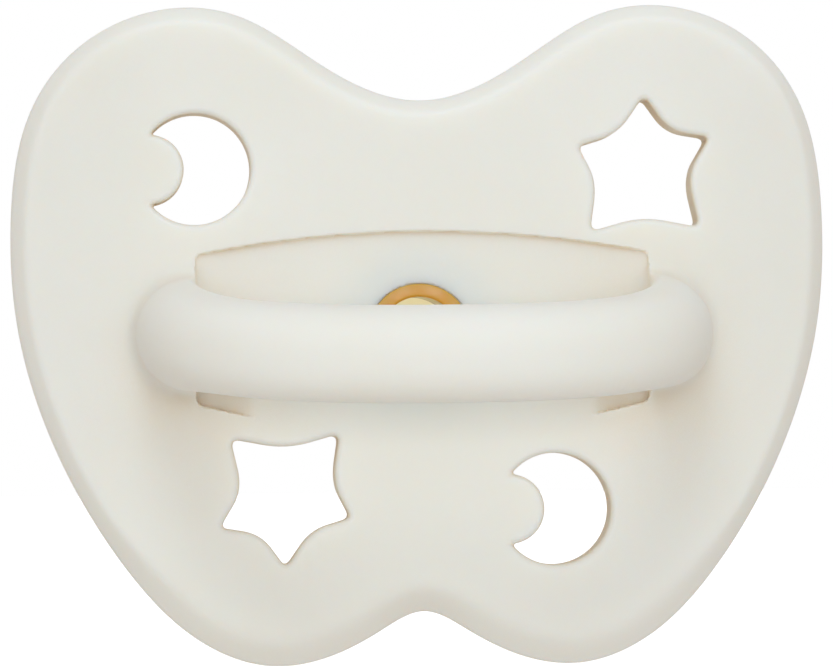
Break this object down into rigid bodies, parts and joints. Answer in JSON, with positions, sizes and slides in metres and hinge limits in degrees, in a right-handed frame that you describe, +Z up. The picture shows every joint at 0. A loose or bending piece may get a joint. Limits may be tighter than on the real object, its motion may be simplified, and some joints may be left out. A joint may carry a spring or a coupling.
{
  "type": "pacifier",
  "caption": "Soft rubber baby pacifier: a butterfly shield with star and moon air vents, a moulded loop handle in front and a hollow cherry-shaped nipple behind.",
  "frame": {"origin": "bottom centre of the whole pacifier's box, straight below the nipple's axis and about at the shield's mouth-side face", "axes": "+X to the right as the handle faces you, +Y into the mouth along the nipple, +Z up towards the notch under the nose"},
  "size_m": [0.0626, 0.0518, 0.0502],
  "materials": {
    "milky_rubber": "matte",
    "amber_rubber": "satin"
  },
  "bodies": {
    "shield": {"shield": "milky_rubber", "nipple_collar": "amber_rubber"},
    "handle": {"loop_handle": "milky_rubber"},
    "teat": {"nipple_teat": "amber_rubber"}
  },
  "joints": [
    {"name": "handle_flex", "type": "hinge", "parent": "shield", "child": "handle", "pos_m": [0, -0.01007, 0.02527], "axis": [1, 0, 0], "range_deg": [-30, 30], "stiffness_Nm_per_rad": 0.085},
    {"name": "teat_flex", "type": "hinge", "parent": "shield", "child": "teat", "pos_m": [0, 0.00543, 0.02527], "axis": [1, 0, 0], "range_deg": [-35, 35], "stiffness_Nm_per_rad": 0.054}
  ]
}
